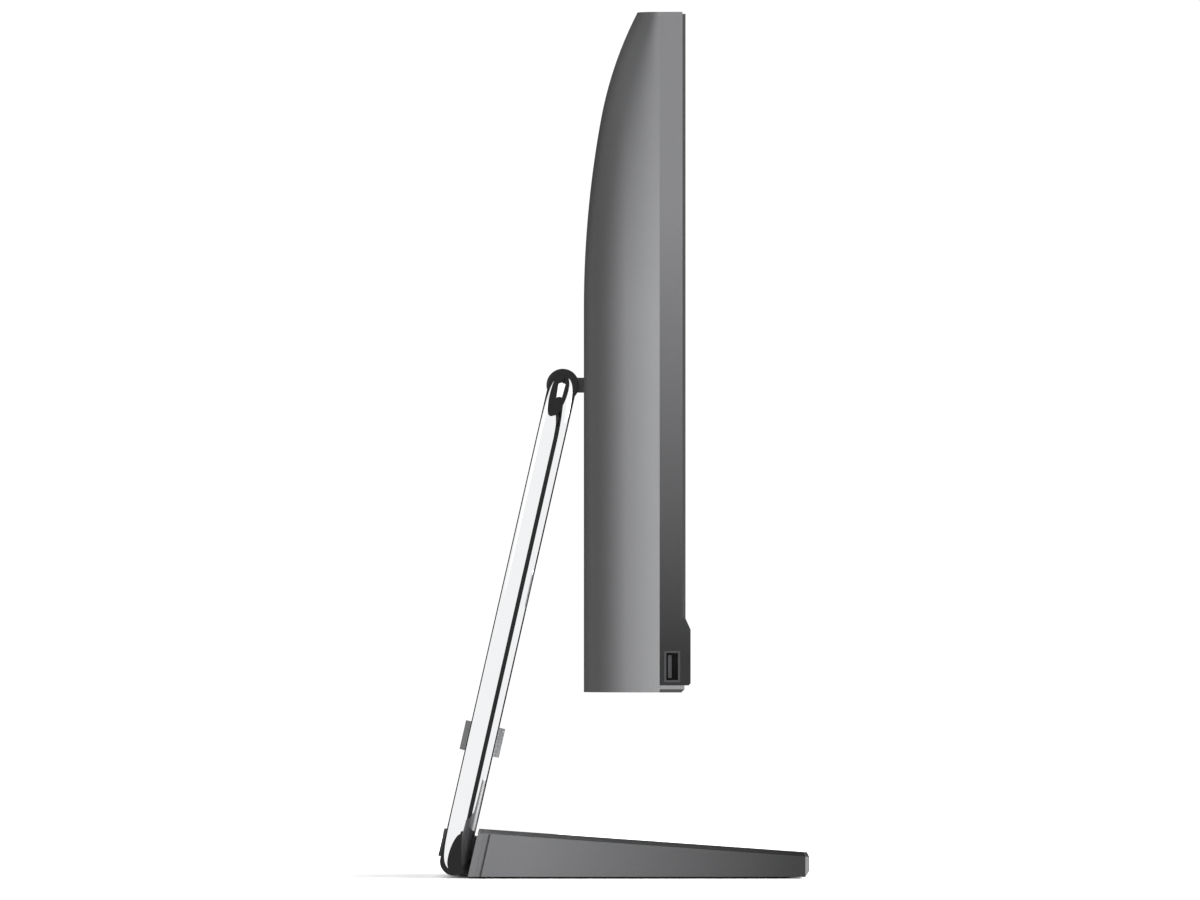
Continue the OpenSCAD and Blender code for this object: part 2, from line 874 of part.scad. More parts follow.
module panel_ribbon() {
    color([0.75, 0.6, 0.35])
        block([-8, chassis_back, board_z0 + board_h - 34], [8, chassis_back + 0.4,
            board_z0 + board_h + 4]);
    color([0.9, 0.9, 0.85])
        block([-12, chassis_back, board_z0 + board_h + 4], [12, chassis_back + 3,
            board_z0 + board_h + 9]);
}

// ---------- Pieces that move in the head ----------

module camera_housing() {
    color([0.12, 0.12, 0.13])
        difference() {
            union() {
                block([-camera_w / 2, camera_y - camera_d / 2, head_top - camera_h + 2],
                      [camera_w / 2, camera_y + camera_d / 2, head_top]);
                block([-camera_w / 2 - 2, camera_y - camera_d / 2, head_top - camera_h],
                      [camera_w / 2 + 2, camera_y + camera_d / 2, head_top - camera_h + 2]);
            }
            translate([0, camera_y - camera_d / 2 - 1, head_top - 9]) rod_y(3.5, 4);
        }
}

module camera_lens() {
    color([0.02, 0.02, 0.05])
        translate([0, camera_y - camera_d / 2 + 0.3, head_top - 9])
            difference() {
                rod_y(3.5, 2.7);
                translate([0, -1, 0]) rotate([-90, 0, 0]) cylinder(r1 = 3, r2 = 1.4, h = 2);
            }
}

module camera_rails() {
    z0 = head_top - camera_h - 3;
    x0 = camera_w / 2 + 2 + slide_gap;
    color([0.3, 0.3, 0.32])
        for (side = [-1, 1])
            difference() {
                block([min(side * x0, side * (x0 + 3)), camera_y - camera_d / 2, z0],
                      [max(side * x0, side * (x0 + 3)), camera_y + camera_d / 2, head_top - frame_wall]);
                translate([side * (x0 + 1.5), camera_y - camera_d, z0 + 8]) rod_y(0.8, 2 * camera_d);
            }
}

module power_button() {
    color([0.6, 0.6, 0.62])
        translate([button_x, button_y, head_z]) {
            cylinder(d = button_d, h = trim_h + frame_wall);
            cylinder(d = button_d - 3, h = trim_h + frame_wall + 1);
        }
}

module button_switch() {
    color([0.1, 0.1, 0.12])
        difference() {
            z = frame_z0 + frame_wall;
            block([button_x - 10, frame_y, z], [button_x + 10, seam_y + 3, z + 6]);
            translate([button_x, button_y, z - 1]) cylinder(d = button_d + 1.2,
                h = 2 + 0.3 + button_travel);
        }
}

// ---------- Stand ----------

// Closed tube path with the given tube radius
module loop_path(r) {
    w = leg_x;
    leg_l = loop_len - 2 * bend_r;
    for (side = [-1, 1])
        translate([side * w, 0, bend_r]) cylinder(r = r, h = leg_l);
    for (z = [0, loop_len])
        translate([0, 0, z]) rod_x(r, 2 * (w - bend_r));
    for (c = [[w - bend_r, bend_r, 270], [w - bend_r, loop_len - bend_r, 0],
              [bend_r - w, loop_len - bend_r, 90], [bend_r - w, bend_r, 180]])
        translate([c[0], 0, c[1]])
            rotate([90, 0, 0]) rotate([0, 0, c[2]]) rotate_extrude(angle = 90) translate([bend_r,
                0]) circle(r);
}

module stand_loop() {
    color([0.85, 0.85, 0.87])
        on_loop()
            difference() {
                loop_path(tube_r);
                loop_path(tube_r - tube_wall);
            }
}

module stop_rings() {
    ring_t = 3;
    ring_x = arm_w / 2 - collar_len - 0.5 - ring_t / 2;
    color([0.2, 0.2, 0.22])
        for (side = [-1, 1])
            translate([side * ring_x, hinge_y, hinge_z])
                difference() {
                    rod_x(collar_r - 0.6, ring_t);
                    rod_x(tube_r, ring_t + 2);
                }
}

// Outline of the base's side, as [y, z], set in by a wall
function base_outline(inset) =
    let (
        slope = atan((rear_h - nose_h) / (base_reach + rear_y)),
        drop = inset / cos(slope),
        y1 = rear_y - inset / cos(loop_lean),
        top = function (y) nose_h + (y + base_reach) * tan(slope) - drop
    )
    [[-base_reach + nose_lean + inset, foot_t], [y1 + (foot_z - foot_t) * rear_tan, foot_t],
     [y1 + (foot_z - top(y1)) * rear_tan, top(y1)], [-base_reach + inset, top(-base_reach + inset)],
     [-base_reach + inset, foot_t + 3]];

module base_form(w, inset) {
    rotate([90, 0, 90])
        linear_extrude(w, center = true)
            polygon(base_outline(inset));
}

module base_groove() {
    y1 = -clamp_t - groove_back;
    on_loop()
        for (side = [-1, 1])
            translate([side * base_w / 2, 0, 0])
                block([-groove_t, y1 - groove_w, -rear_h], [groove_t, y1, 2 * rear_h]);
}

module base_shell() {
    color([0.42, 0.42, 0.44])
        difference() {
            base_form(base_w, 0);
            base_groove();
            difference() {
                base_form(base_w - 2 * base_wall, base_wall);
                for (x = base_screw_x, y = base_screw_y)
                    translate([x, y, 0]) cylinder(r = 4, h = 40);
            }
            translate([-base_w / 2 + base_wall, -base_reach + base_wall + 2, 0])
                cube([base_w - 2 * base_wall, base_reach + rear_y - 2 * base_wall - 2, foot_t + plate_t]);
            block([-base_w, -base_reach - 1, 0], [base_w, -base_reach + nose_t, 40]);
            for (x = base_screw_x, y = base_screw_y)
                translate([x, y, 0]) cylinder(r = 1.4, h = 7.5);
            for (x = clamp_screw_x)
                on_loop() translate([x, -20, clamp_screw_z]) rod_y(1.6, 30);
        }
}

module nose_trim() {
    color([0.6, 0.6, 0.62])
        intersection() {
            base_form(base_w, 0);
            block([-base_w, -base_reach - 1, 0], [base_w, -base_reach + nose_t, 40]);
        }
}

module base_plate() {
    color([0.12, 0.12, 0.13])
        difference() {
            block([-base_w / 2 + base_wall + 0.2, -base_reach + base_wall + 2.2, foot_t],
                  [base_w / 2 - base_wall - 0.2, rear_y - base_wall - 0.2, foot_t + plate_t]);
            for (x = base_screw_x, y = base_screw_y)
                translate([x, y, 0]) cylinder(r = 1.7, h = 10);
        }
}

module base_screws() {
    color([0.7, 0.7, 0.72])
        for (x = base_screw_x, y = base_screw_y)
            translate([x, y, foot_t + 0.3]) cylinder(r = 1.4, h = 6);
}

module base_weight() {
    color([0.45, 0.46, 0.48])
        block([-base_w / 2 + 22, -base_reach + 22, foot_t + plate_t],
              [base_w / 2 - 22, rear_y - 8, foot_t + plate_t + weight_t]);
}

module rubber_feet() {
    color([0.06, 0.06, 0.06])
        for (x = [-base_w / 2 + 28, base_w / 2 - 28], y = [-base_reach + 18, rear_y - 16])
            translate([x, y, 0]) cylinder(d = foot_d, h = foot_t);
}

module rear_cradle() {
    color([0.1, 0.1, 0.11])
        on_loop()
            difference() {
                block([-clamp_w / 2, -clamp_t, clamp_low], [clamp_w / 2, -0.2, clamp_h]);
                rod_x(tube_r, clamp_w + 2);
                for (x = clamp_screw_x)
                    translate([x, -clamp_t - 1, clamp_screw_z]) rod_y(1.6, 2 * clamp_t);
            }
}

module clamp_plate() {
    color([0.13, 0.13, 0.14])
        on_loop()
            difference() {
                block([-clamp_w / 2, 0.2, clamp_z0], [clamp_w / 2, clamp_t, clamp_h]);
                rod_x(tube_r, clamp_w + 2);
                for (x = clamp_screw_x)
                    translate([x, -1, clamp_screw_z]) {
                        rod_y(1.6, 2 * clamp_t);
                        translate([0, clamp_t - 1.4, 0]) rod_y(3, 4);
                    }
            }
}

module clamp_screws() {
    color([0.7, 0.7, 0.72])
        on_loop()
            for (x = clamp_screw_x)
                translate([x, -clamp_t - 5, clamp_screw_z]) screw(3, 2 * clamp_t + 3.4, 5.4, 1.4);
}

module cable_clip() {
    r = tube_r + clip_wall;
    hook_x = -(tube_r + clip_bore / 2 + clip_wall);
    color([0.55, 0.55, 0.57])
        on_loop()
            translate([leg_x, 0, clip_at - clip_h / 2])
                difference() {
                    union() {
                        cylinder(r = r, h = clip_h);
                        translate([hook_x, 0, 0]) cylinder(r = clip_bore / 2 + clip_wall, h = clip_h);
                    }
                    translate([0, 0, -1]) cylinder(r = tube_r, h = clip_h + 2);
                    translate([hook_x, 0, -1]) cylinder(r = clip_bore / 2, h = clip_h + 2);
                    translate([hook_x - clip_bore, -clip_mouth / 2, -1])
                        cube([clip_bore, clip_mouth, clip_h + 2]);
                }
}

front_glass();
lcd_panel();
backlight_tray();
mid_frame();
rear_cover();
cover_screws();
cover_posts();
chin_housing();
speaker_grille();
bottom_trim();
bottom_strip();
side_usb_shell();
side_usb_tongue();
chassis_plate();
hinge_bracket();
hinge_arm();
hinge_collars();
hinge_bolts();
main_board();
board_standoffs();
board_screws();
processor();
cold_plate();
heat_pipe();
fin_stack();
blower_housing();
blower_rotor();
memory_modules();
storage_card();
wireless_card();
antennas();
hard_drive();
drive_caddy();
speaker_left();
speaker_right();
speaker_cones();
rear_usb_sockets();
network_socket();
hdmi_socket();
audio_jack();
power_inlet();
io_plate();
panel_ribbon();
camera_housing();
camera_lens();
camera_rails();
power_button();
button_switch();
stand_loop();
stop_rings();
base_shell();
nose_trim();
base_plate();
base_screws();
base_weight();
rubber_feet();
rear_cradle();
clamp_plate();
clamp_screws();
cable_clip();
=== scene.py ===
"""Looks of the all-in-one computer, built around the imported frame. Metres, front -Y, up +Z."""

import json
import math

import bmesh
import bpy
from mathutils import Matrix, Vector

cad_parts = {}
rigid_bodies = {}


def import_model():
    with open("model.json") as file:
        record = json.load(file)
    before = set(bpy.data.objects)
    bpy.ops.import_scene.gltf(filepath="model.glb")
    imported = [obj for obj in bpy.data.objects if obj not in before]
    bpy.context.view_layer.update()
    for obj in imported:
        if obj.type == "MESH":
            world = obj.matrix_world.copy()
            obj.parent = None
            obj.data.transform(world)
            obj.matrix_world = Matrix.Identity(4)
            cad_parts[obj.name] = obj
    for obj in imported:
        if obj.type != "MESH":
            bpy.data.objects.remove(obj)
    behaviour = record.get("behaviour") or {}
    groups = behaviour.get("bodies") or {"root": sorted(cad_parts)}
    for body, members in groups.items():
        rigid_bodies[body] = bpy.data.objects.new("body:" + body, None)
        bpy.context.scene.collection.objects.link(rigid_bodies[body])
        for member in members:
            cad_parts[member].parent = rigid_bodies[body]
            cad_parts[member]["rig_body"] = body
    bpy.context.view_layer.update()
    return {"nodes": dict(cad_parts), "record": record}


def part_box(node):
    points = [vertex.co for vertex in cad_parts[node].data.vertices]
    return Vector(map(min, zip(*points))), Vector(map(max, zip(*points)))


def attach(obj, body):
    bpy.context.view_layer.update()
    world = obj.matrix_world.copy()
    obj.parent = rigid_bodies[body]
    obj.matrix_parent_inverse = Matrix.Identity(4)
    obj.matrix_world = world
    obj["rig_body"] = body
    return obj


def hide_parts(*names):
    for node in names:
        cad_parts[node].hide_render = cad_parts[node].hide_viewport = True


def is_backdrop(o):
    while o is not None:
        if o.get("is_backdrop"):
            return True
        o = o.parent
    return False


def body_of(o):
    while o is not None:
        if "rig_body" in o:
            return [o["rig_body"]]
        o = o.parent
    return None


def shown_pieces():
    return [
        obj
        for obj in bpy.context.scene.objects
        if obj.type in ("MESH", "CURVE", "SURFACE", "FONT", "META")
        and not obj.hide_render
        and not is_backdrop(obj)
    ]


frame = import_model()
MM = 0.001
FLAKE = 5200


# ---------------------------------------------------------------- places taken from the frame

def corners(node):
    lo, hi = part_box(node)
    return Vector(lo), Vector(hi)


NODES = frame["nodes"]
SLOTS = {p["node"]: p["material_slot"] for p in frame["record"]["subparts"]}
COVER_LO, COVER_HI = corners("rear_cover")
BAY_LO, BAY_HI = corners("io_plate")
ARM_LO, ARM_HI = corners("hinge_arm")
FINS_LO = corners("fin_stack")[0]
SEAM = COVER_LO.y
HALF_W = COVER_HI.x
BACK = COVER_HI.y
TOP = COVER_HI.z
FOOT = COVER_LO.z
PANEL_LO, PANEL_HI = corners("lcd_panel")
SCREEN_EDGE = 5 * MM
GLASS_EDGE = 0.4 * MM
GLASS_FACE = corners("front_glass")[1].x - GLASS_EDGE
SCREEN_LO = PANEL_LO + Vector((SCREEN_EDGE, 0, SCREEN_EDGE))
SCREEN_HI = PANEL_HI - Vector((SCREEN_EDGE, 0, SCREEN_EDGE))


# ---------------------------------------------------------------- node helpers

class Shader:
    """A Principled material whose noise, wear and bump are added by named steps."""

    def __init__(self, name, color, rough, metallic=0.0, ior=1.5):
        self.mat = bpy.data.materials.new(name)
        self.mat.use_nodes = True
        self.tree = self.mat.node_tree
        self.nodes = self.tree.nodes
        self.bsdf = self.nodes["Principled BSDF"]
        self.bsdf.inputs["Base Color"].default_value = (*color, 1)
        self.bsdf.inputs["Roughness"].default_value = rough
        self.bsdf.inputs["Metallic"].default_value = metallic
        self.bsdf.inputs["IOR"].default_value = ior
        self.color = color
        self.rough = rough
        self.bump_from = None
        self.mat.diffuse_color = (*color, 1)

    def link(self, a, b):
        self.tree.links.new(a, b)

    def place(self, scale=(1, 1, 1)):
        """Object coordinates, stretched by a scale."""
        coords = self.nodes.new("ShaderNodeTexCoord")
        mapping = self.nodes.new("ShaderNodeMapping")
        mapping.inputs["Scale"].default_value = scale
        self.link(coords.outputs["Object"], mapping.inputs["Vector"])
        return mapping.outputs["Vector"]

    def noise(self, scale, detail=3.0, stretch=(1, 1, 1), roughness=0.5):
        tex = self.nodes.new("ShaderNodeTexNoise")
        tex.inputs["Scale"].default_value = scale
        tex.inputs["Detail"].default_value = detail
        tex.inputs["Roughness"].default_value = roughness
        self.link(self.place(stretch), tex.inputs["Vector"])
        return tex.outputs["Fac"]

    def spread(self, value, low, high, from_low=0.3, from_high=0.7):
        """Maps from_low..from_high onto low..high."""
        node = self.nodes.new("ShaderNodeMapRange")
        node.inputs["From Min"].default_value = from_low
        node.inputs["From Max"].default_value = from_high
        node.inputs["To Min"].default_value = low
        node.inputs["To Max"].default_value = high
        self.link(value, node.inputs["Value"])
        return node.outputs["Result"]

    def tint(self, value, dark, light):
        """Base colour from dark to light along a 0 to 1 value."""
        mix = self.nodes.new("ShaderNodeMix")
        mix.data_type = "RGBA"
        mix.inputs["A"].default_value = (*dark, 1)
        mix.inputs["B"].default_value = (*light, 1)
        self.link(value, mix.inputs["Factor"])
        self.link(mix.outputs["Result"], self.bsdf.inputs["Base Color"])
        return self

    def vary(self, value, amount):
        """Base colour a little darker and lighter than its own."""
        dark = [c * (1 - amount) for c in self.color]
        light = [min(1, c * (1 + amount)) for c in self.color]
        return self.tint(self.spread(value, 0, 1), dark, light)

    def worn(self, value, amount):
        """Roughness that wanders round its own value."""
        out = self.spread(value, max(0.02, self.rough - amount), min(1, self.rough + amount))
        self.link(out, self.bsdf.inputs["Roughness"])
        return self

    def bump(self, height, depth, strength=1.0):
        """Relief of a depth in metres."""
        node = self.nodes.new("ShaderNodeBump")
        node.inputs["Distance"].default_value = depth
        node.inputs["Strength"].default_value = strength
        self.link(height, node.inputs["Height"])
        if self.bump_from:
            self.link(self.bump_from, node.inputs["Normal"])
        self.bump_from = node.outputs["Normal"]
        self.link(self.bump_from, self.bsdf.inputs["Normal"])
        return self

    def painted_light_grade(self, axis, low, high, low_color, high_color, top_painted_shade=None):
        """Painted light: base colour that drifts along an axis, from a low place to a high one,
        under the flake, standing in for the shade and reflection that the lamps would give.

        The last argument paints shade at the top as (low, high, level): between two heights the
        paint darkens to a level of itself."""
        parts = self.nodes.new("ShaderNodeSeparateXYZ")
        self.link(self.place(), parts.inputs[0])
        # Painted light: the base colour follows this gradient along the axis
        light_gradient = self.spread(parts.outputs[axis], 0, 1, low, high)
        mix = self.nodes.new("ShaderNodeMix")
        mix.data_type = "RGBA"
        mix.inputs["A"].default_value = (*low_color, 1)
        mix.inputs["B"].default_value = (*high_color, 1)
        self.link(light_gradient, mix.inputs["Factor"])
        flake = self.nodes.new("ShaderNodeMix")
        flake.data_type = "RGBA"
        flake.blend_type = "MULTIPLY"
        flake.inputs["Factor"].default_value = 0.35
        tone = self.nodes.new("ShaderNodeCombineColor")
        grain = self.spread(self.noise(FLAKE, 1), 0.55, 1.0)
        # Painted shade: between two heights the flake darkens, for the shade of the cover's
        # falling top
        if top_painted_shade:
            top_shade_factor = self.nodes.new("ShaderNodeMath")
            top_shade_factor.operation = "MULTIPLY"
            self.link(grain, top_shade_factor.inputs[0])
            low_z, high_z, level = top_painted_shade
            self.link(self.spread(parts.outputs[2], 1, level, low_z, high_z), top_shade_factor.inputs[1])
            grain = top_shade_factor.outputs[0]
        for channel in range(3):
            self.link(grain, tone.inputs[channel])
        self.link(mix.outputs["Result"], flake.inputs["A"])
        self.link(tone.outputs["Color"], flake.inputs["B"])
        self.link(flake.outputs["Result"], self.bsdf.inputs["Base Color"])
        return self

    def set(self, **values):
        for key, value in values.items():
            self.bsdf.inputs[key.replace("_", " ")].default_value = value
        return self


# ---------------------------------------------------------------- materials

def moulded(name, color, rough, grain=2600, depth=0.00004):
    """Moulded plastic with a fine spark-eroded grain and slight handling marks."""
    s = Shader(name, color, rough)
    s.vary(s.noise(9, 4), 0.08)
    s.worn(s.noise(38, 5, roughness=0.6), 0.07)
    s.bump(s.noise(grain, 2), depth, 0.5)
    return s.mat


def painted(name, color, rough):
    """Metallic paint: fine flake, orange peel and a thin clear coat."""
    s = Shader(name, color, rough, metallic=0.55)
    s.vary(s.noise(FLAKE, 1), 0.12)
    s.worn(s.noise(30, 5, roughness=0.6), 0.05)
    s.bump(s.noise(420, 2), 0.00002, 0.35)
    s.set(Coat_Weight=0.18, Coat_Roughness=0.3)
    return s.mat


def paint_with_painted_light(name, axis, ends, colors, rough, top_painted_shade=None):
    """Metallic paint with painted light: it drifts between two greys along an axis, standing in
    for shade and reflection.
    """
    s = Shader(name, colors[0], rough, metallic=0.12)
    s.painted_light_grade(axis, ends[0], ends[1], colors[0], colors[1], top_painted_shade)
    s.worn(s.noise(30, 5, roughness=0.6), 0.015)
    s.bump(s.noise(420, 2), 0.00002, 0.35)
    s.set(Specular_IOR_Level=0.25)
    return s.mat


def grey(value):
    """A neutral grey with the faint blue cast of the object's paint."""
    return (value, value * 1.005, value * 1.035)


def brushed(name, color, rough, light_gradient=(1, 1, 1), depth=0.00001):
    """Metal with fine drawn lines along one axis."""
    s = Shader(name, color, rough, metallic=1.0)
    lines = s.noise(700, 3, stretch=light_gradient)
    s.vary(lines, 0.12)
    s.worn(lines, 0.08)
    s.bump(lines, depth, 0.4)
    return s.mat


def chrome(name):
    """Polished plating with faint polishing waves and smears."""
    s = Shader(name, (0.86, 0.865, 0.875), 0.045, metallic=1.0)
    s.worn(s.noise(55, 5, roughness=0.65), 0.02)
    s.bump(s.noise(26, 2), 0.00006, 0.12)
    return s.mat


def glass_front(name):
    """Black-backed cover glass: switched-off picture area, darker border, pale cut edge."""
    s = Shader(name, (0.003, 0.003, 0.0035), 0.05)
    parts = s.nodes.new("ShaderNodeSeparateXYZ")
    s.link(s.place(), parts.inputs[0])
    inside = None
    for axis, low, high in ((0, SCREEN_LO.x, SCREEN_HI.x), (2, SCREEN_LO.z, SCREEN_HI.z)):
        within = s.nodes.new("ShaderNodeMath")
        within.operation = "COMPARE"
        within.inputs[1].default_value = (low + high) / 2
        within.inputs[2].default_value = (high - low) / 2
        s.link(parts.outputs[axis], within.inputs[0])
        if inside is None:
            inside = within.outputs[0]
            continue
        both = s.nodes.new("ShaderNodeMath")
        both.operation = "MULTIPLY"
        s.link(inside, both.inputs[0])
        s.link(within.outputs[0], both.inputs[1])
        inside = both.outputs[0]
    s.tint(inside, (0.002, 0.002, 0.0024), (0.006, 0.0063, 0.0075))
    on_face = s.nodes.new("ShaderNodeMath")
    on_face.operation = "COMPARE"
    on_face.inputs[1].default_value = 0
    on_face.inputs[2].default_value = GLASS_FACE
    s.link(parts.outputs[0], on_face.inputs[0])
    edge = s.nodes.new("ShaderNodeMix")
    edge.data_type = "RGBA"
    edge.inputs["A"].default_value = (*grey(0.015), 1)
    s.link(on_face.outputs[0], edge.inputs["Factor"])
    s.link(s.bsdf.inputs["Base Color"].links[0].from_socket, edge.inputs["B"])
    s.link(edge.outputs["Result"], s.bsdf.inputs["Base Color"])
    s.worn(s.noise(24, 6, roughness=0.7), 0.02)
    s.set(Specular_IOR_Level=0.35)
    return s.mat


def circuit(name):
    """Solder-masked board with lighter traces and pads."""
    s = Shader(name, (0.01, 0.07, 0.035), 0.35)
    brick = s.nodes.new("ShaderNodeTexBrick")
    brick.inputs["Scale"].default_value = 90
    brick.inputs["Mortar Size"].default_value = 0.06
    brick.inputs["Color1"].default_value = (0.008, 0.06, 0.03, 1)
    brick.inputs["Color2"].default_value = (0.012, 0.085, 0.045, 1)
    brick.inputs["Mortar"].default_value = (0.05, 0.2, 0.1, 1)
    turn = s.nodes.new("ShaderNodeMapping")
    turn.inputs["Rotation"].default_value = (math.pi / 2, 0, 0)
    s.link(s.place(), turn.inputs["Vector"])
    s.link(turn.outputs["Vector"], brick.inputs["Vector"])
    s.link(brick.outputs["Color"], s.bsdf.inputs["Base Color"])
    s.worn(s.noise(60, 4), 0.08)
    s.bump(brick.outputs["Fac"], 0.00005, 0.5)
    return s.mat


def rubbery(name):
    s = Shader(name, (0.018, 0.018, 0.019), 0.75)
    s.vary(s.noise(40, 4), 0.25)
    s.worn(s.noise(90, 4), 0.1)
    s.bump(s.noise(1800, 3), 0.00006, 0.6)
    return s.mat


def lens(name):
    s = Shader(name, (0.004, 0.004, 0.01), 0.06)
    s.vary(s.noise(400, 2), 0.3)
    s.worn(s.noise(200, 3), 0.02)
    s.set(Coat_Weight=1.0, Coat_Roughness=0.02)
    return s.mat


MATERIALS = {
    # Painted shade on the cover: lighter at the seam, darker towards the back, darker again near
    # the top
    "cover_plastic": paint_with_painted_light(
        "cover_paint_painted_shade", 1, (-0.001, 0.013), (grey(0.092), grey(0.048)), 0.5, (0.28, 0.4, 0.1)),
    # Painted reflection on the frame: darker towards the foot, lighter towards the top
    "frame_metal": paint_with_painted_light("frame_paint_painted_reflection", 2, (0.11, 0.33), (grey(0.0075), grey(0.059)), 0.42),
    "black_plastic": moulded("black_moulding", (0.014, 0.014, 0.015), 0.5),
    "dark_plastic": moulded("dark_moulding", (0.045, 0.046, 0.049), 0.42),
    "cover_glass": glass_front("cover_glass"),
    "panel": moulded("panel_back", (0.02, 0.02, 0.025), 0.3, 400),
    "tray_metal": brushed("tray_metal", (0.62, 0.63, 0.65), 0.4, (0.05, 1, 1)),
    "steel": brushed("pressed_steel", (0.42, 0.43, 0.45), 0.42, (1, 1, 0.08)),
    "socket_metal": brushed("socket_plating", (0.6, 0.6, 0.62), 0.28, (1, 1, 0.2)),
    "chrome": chrome("chrome_plating"),
    "grille": painted("grille_paint", (0.02, 0.02, 0.022), 0.5),
    "board": circuit("circuit_board"),
    "copper": brushed("copper", (0.72, 0.36, 0.2), 0.3, (0.2, 1, 1)),
    "fins": brushed("fin_metal", (0.66, 0.67, 0.69), 0.35, (1, 1, 0.1)),
    "screw_metal": brushed("screw_metal", (0.3, 0.3, 0.32), 0.35, (1, 0.3, 1)),
    # Painted shade on the base: darker towards the front, lighter towards the back
    "base_metal": paint_with_painted_light("base_paint_painted_shade", 1, (-0.085, 0.05), (grey(0.014), grey(0.065)), 0.44),
    "trim_metal": brushed("trim_metal", (0.36, 0.362, 0.37), 0.35, (0.06, 1, 1)),
    "weight_steel": moulded("weight_steel", (0.12, 0.12, 0.125), 0.6, 900, 0.0001),
    "clip_plastic": moulded("clip_plastic", (0.12, 0.121, 0.124), 0.45, depth=0.00001),
    "rubber": rubbery("rubber"),
    "lens": lens("camera_lens"),
}


def dress(obj, slot):
    """Gives an object the one material of a slot."""
    obj.data.materials.clear()
    obj.data.materials.append(MATERIALS[slot])


def soften(obj, width, segments=2, angle=32):
    """Rounds an object's sharp edges with a bevel, in metres."""
    mod = obj.modifiers.new("edge_rounding", "BEVEL")
    mod.width = width
    mod.segments = segments
    mod.limit_method = "ANGLE"
    mod.angle_limit = math.radians(angle)
    mod.use_clamp_overlap = True
    mod.harden_normals = False


# ---------------------------------------------------------------- mesh helpers

def new_mesh(name, verts, faces, slot, body):
    """A mesh object from points and faces, dressed and riding on a body."""
    mesh = bpy.data.meshes.new(name)
    mesh.from_pydata([tuple(v) for v in verts], [], faces)
    obj = bpy.data.objects.new(name, mesh)
    bpy.context.scene.collection.objects.link(obj)
    bm = bmesh.new()
    bm.from_mesh(mesh)
    bmesh.ops.remove_doubles(bm, verts=bm.verts, dist=1e-6)
    bmesh.ops.recalc_face_normals(bm, faces=bm.faces)
    bm.to_mesh(mesh)
    bm.free()
    dress(obj, slot)
    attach(obj, body)
    return obj


def box_mesh(lo, hi):
    """Corner points and faces of a box."""
    x0, y0, z0 = lo
    x1, y1, z1 = hi
    verts = [(x, y, z) for x in (x0, x1) for y in (y0, y1) for z in (z0, z1)]
    faces = [(0, 1, 3, 2), (4, 6, 7, 5), (0, 4, 5, 1), (2, 3, 7, 6), (0, 2, 6, 4), (1, 5, 7, 3)]
    return verts, faces


def boxes_mesh(boxes):
    """Points and faces of several separate boxes."""
    verts, faces = [], []
    for lo, hi in boxes:
        v, f = box_mesh(lo, hi)
        faces += [tuple(i + len(verts) for i in face) for face in f]
        verts += v
    return verts, faces


def smooth(obj, angle=30):
    """Smooth shading that keeps edges sharper than an angle."""
    bpy.context.view_layer.objects.active = obj
    obj.select_set(True)
    bpy.ops.object.shade_smooth_by_angle(angle=math.radians(angle))
    obj.select_set(False)


def apply_modifiers(obj):
    """Bakes an object's modifiers into its own mesh."""
    depsgraph = bpy.context.evaluated_depsgraph_get()
    mesh = bpy.data.meshes.new_from_object(obj.evaluated_get(depsgraph))
    old = obj.data
    obj.modifiers.clear()
    obj.data = mesh
    bpy.data.meshes.remove(old)


def rods_mesh(rods, sides=32):
    """Points and faces of closed rods along Y, each (x, z, radius, y0, y1)."""
    verts, faces = [], []
    for x, z, radius, y0, y1 in rods:
        base = len(verts)
        for y in (y0, y1):
            for i in range(sides):
                t = math.tau * i / sides
                verts.append((x + radius * math.cos(t), y, z + radius * math.sin(t)))
        for i in range(sides):
            j = (i + 1) % sides
            faces.append((base + i, base + j, base + sides + j, base + sides + i))
        faces.append(tuple(base + i for i in range(sides)))
        faces.append(tuple(base + 2 * sides - 1 - i for i in range(sides)))
    return verts, faces


def cut(obj, boxes, rods=()):
    """Cuts boxes and rods out of a closed mesh."""
    verts, faces = boxes_mesh(boxes)
    rod_verts, rod_faces = rods_mesh(rods)
    faces += [tuple(i + len(verts) for i in face) for face in rod_faces]
    verts += rod_verts
    mesh = bpy.data.meshes.new("cutter")
    mesh.from_pydata(verts, [], faces)
    bm = bmesh.new()
    bm.from_mesh(mesh)
    bmesh.ops.recalc_face_normals(bm, faces=bm.faces)
    bm.to_mesh(mesh)
    bm.free()
    cutter = bpy.data.objects.new("cutter", mesh)
    bpy.context.scene.collection.objects.link(cutter)
    mod = obj.modifiers.new("cut", "BOOLEAN")
    mod.operation = "DIFFERENCE"
    mod.solver = "EXACT"
    mod.object = cutter
    apply_modifiers(obj)
    bpy.data.objects.remove(cutter)
    bpy.data.meshes.remove(mesh)


# ---------------------------------------------------------------- rear cover

SIDE_R = 34 * MM
WALL = 2.4 * MM
CURVE_START = FOOT + 189.5 * MM
CURVE_RISE = 93 * MM
R_SLOW = 520 * MM
R_QUICK = 190 * MM
CORNER_STEPS = 16
MIDDLE_STEPS = 12
HEIGHT_STEPS = 72
PAST_BACK = BACK + 10 * MM
BELOW_FOOT = FOOT - 5 * MM
BAY_SIDE = 6.3 * MM
BAY_FRONT = 0.7 * MM
ARM_MIDDLE = (ARM_LO.z + ARM_HI.z) / 2
ARM_GAP = 1 * MM
ARM_SLOT = 4.7 * MM
SLOTS_IN_VENT = 10
OUTLET_START, OUTLET_PITCH, OUTLET_SLOT, OUTLET_H = -15 * MM, 12 * MM, 6 * MM, 34 * MM
INLET_X, INLET_START, INLET_PITCH, INLET_SLOT = 170 * MM, -50 * MM, 10 * MM, 4 * MM
INLET_LOW, INLET_HIGH = FOOT + 40 * MM, FOOT + 75 * MM
SCREEN_MARGIN = 3 * MM
SCREEN_GAP = 0.8 * MM
SCREEN_THICK = 0.3 * MM
SCREW_R = 2.8 * MM
